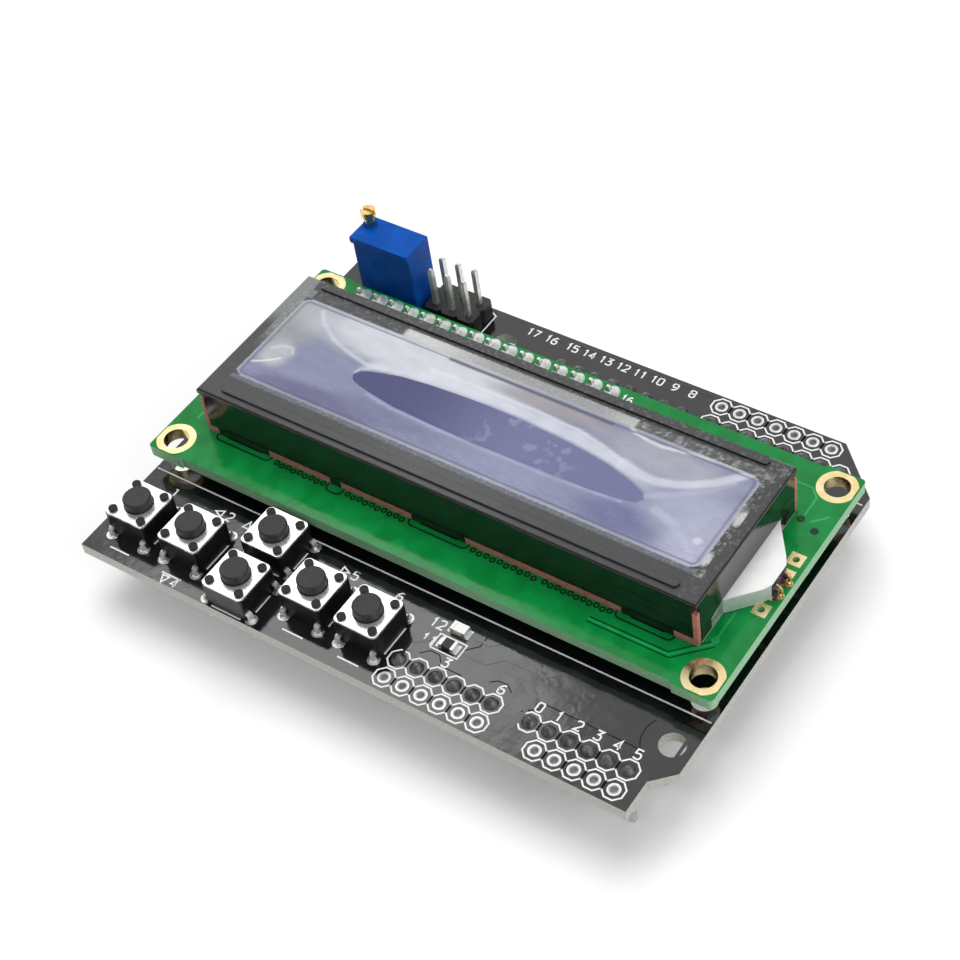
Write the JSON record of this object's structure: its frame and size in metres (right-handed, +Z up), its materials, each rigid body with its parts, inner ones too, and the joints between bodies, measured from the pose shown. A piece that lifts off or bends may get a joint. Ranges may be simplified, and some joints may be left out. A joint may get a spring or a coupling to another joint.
{
  "type": "lcd keypad shield",
  "caption": "Plug-on display board: black circuit board with push keys, a framed character display on a green board, a trimmer and stacking pins below.",
  "frame": {"origin": "below the middle of the black board, level with the tips of the stacking pins", "axes": "+X along the display to its light guide's nose, +Y from the keys to the trimmer, +Z up, out of the display's face"},
  "size_m": [0.08, 0.0576, 0.0237],
  "materials": {
    "black_board": "glossy black solder mask",
    "black_moulding": "satin",
    "tin_plate": "bright tin plate",
    "green_board": "glossy green solder mask",
    "gold_plate": "bright gold plate",
    "frame_steel": "satin black",
    "clear_glass": "polished",
    "polariser": "glossy violet blue",
    "strip_rubber": "matte",
    "clear_guide": "clear and polished",
    "white_sheet": "glossy white",
    "film": "clear and glossy",
    "lamp_body": "glossy",
    "key_moulding": "fine matte",
    "key_steel": "satin",
    "blue_moulding": "satin blue",
    "screw_brass": "bright",
    "chip_white": "clear lens over white",
    "chip_black": "matte"
  },
  "bodies": {
    "shield": {"shield_board": "black_board", "lcd_board": "green_board", "lcd_gold_pads": "gold_plate", "lcd_frame": "frame_steel", "lcd_glass_front": "clear_glass", "lcd_glass_rear": "clear_glass", "front_polariser": "polariser", "contact_strip_front": "strip_rubber", "contact_strip_back": "strip_rubber", "light_guide": "clear_guide", "guide_top_sheet": "white_sheet", "guide_base_sheet": "white_sheet", "protective_film": "film", "backlight_lamp": "lamp_body", "lcd_header": "black_moulding", "lcd_header_pins": "tin_plate", "pin_block": "black_moulding", "pin_block_pins": "tin_plate", "key_leads": "tin_plate", "trimmer_case": "blue_moulding", "trimmer_pins": "tin_plate", "power_lamp": "chip_white", "chip_resistors": "chip_black", "backlight_transistor": "chip_black", "controller_blobs": "chip_black", "power_header": "black_moulding", "power_pins": "tin_plate", "analog_header": "black_moulding", "analog_pins": "tin_plate", "port_low_header": "black_moulding", "port_low_pins": "tin_plate", "port_high_header": "black_moulding", "port_high_pins": "tin_plate", "key_select_housing": "key_moulding", "key_select_cover": "key_steel", "key_select_dome": "key_steel", "key_left_housing": "key_moulding", "key_left_cover": "key_steel", "key_left_dome": "key_steel", "key_up_housing": "key_moulding", "key_up_cover": "key_steel", "key_up_dome": "key_steel", "key_down_housing": "key_moulding", "key_down_cover": "key_steel", "key_down_dome": "key_steel", "key_right_housing": "key_moulding", "key_right_cover": "key_steel", "key_right_dome": "key_steel", "key_reset_housing": "key_moulding", "key_reset_cover": "key_steel", "key_reset_dome": "key_steel"},
    "key_select": {"key_select_plunger": "key_moulding"},
    "key_left": {"key_left_plunger": "key_moulding"},
    "key_up": {"key_up_plunger": "key_moulding"},
    "key_down": {"key_down_plunger": "key_moulding"},
    "key_right": {"key_right_plunger": "key_moulding"},
    "key_reset": {"key_reset_plunger": "key_moulding"},
    "adjuster": {"trimmer_screw": "screw_brass"}
  },
  "joints": [
    {"name": "key_select_press", "type": "slide", "parent": "shield", "child": "key_select", "axis": [0, 0, -1], "range_m": [0, 0.00025], "stiffness_N_per_m": 400, "deforming": ["key_select_dome"]},
    {"name": "key_left_press", "type": "slide", "parent": "shield", "child": "key_left", "axis": [0, 0, -1], "range_m": [0, 0.00025], "stiffness_N_per_m": 400, "deforming": ["key_left_dome"]},
    {"name": "key_up_press", "type": "slide", "parent": "shield", "child": "key_up", "axis": [0, 0, -1], "range_m": [0, 0.00025], "stiffness_N_per_m": 400, "deforming": ["key_up_dome"]},
    {"name": "key_down_press", "type": "slide", "parent": "shield", "child": "key_down", "axis": [0, 0, -1], "range_m": [0, 0.00025], "stiffness_N_per_m": 400, "deforming": ["key_down_dome"]},
    {"name": "key_right_press", "type": "slide", "parent": "shield", "child": "key_right", "axis": [0, 0, -1], "range_m": [0, 0.00025], "stiffness_N_per_m": 400, "deforming": ["key_right_dome"]},
    {"name": "key_reset_press", "type": "slide", "parent": "shield", "child": "key_reset", "axis": [0, 0, -1], "range_m": [0, 0.00025], "stiffness_N_per_m": 400, "deforming": ["key_reset_dome"]},
    {"name": "adjuster_turn", "type": "hinge", "parent": "shield", "child": "adjuster", "pos_m": [-0.0338, 0.0254, 0.02244], "axis": [0, 0, 1], "continuous": true}
  ]
}
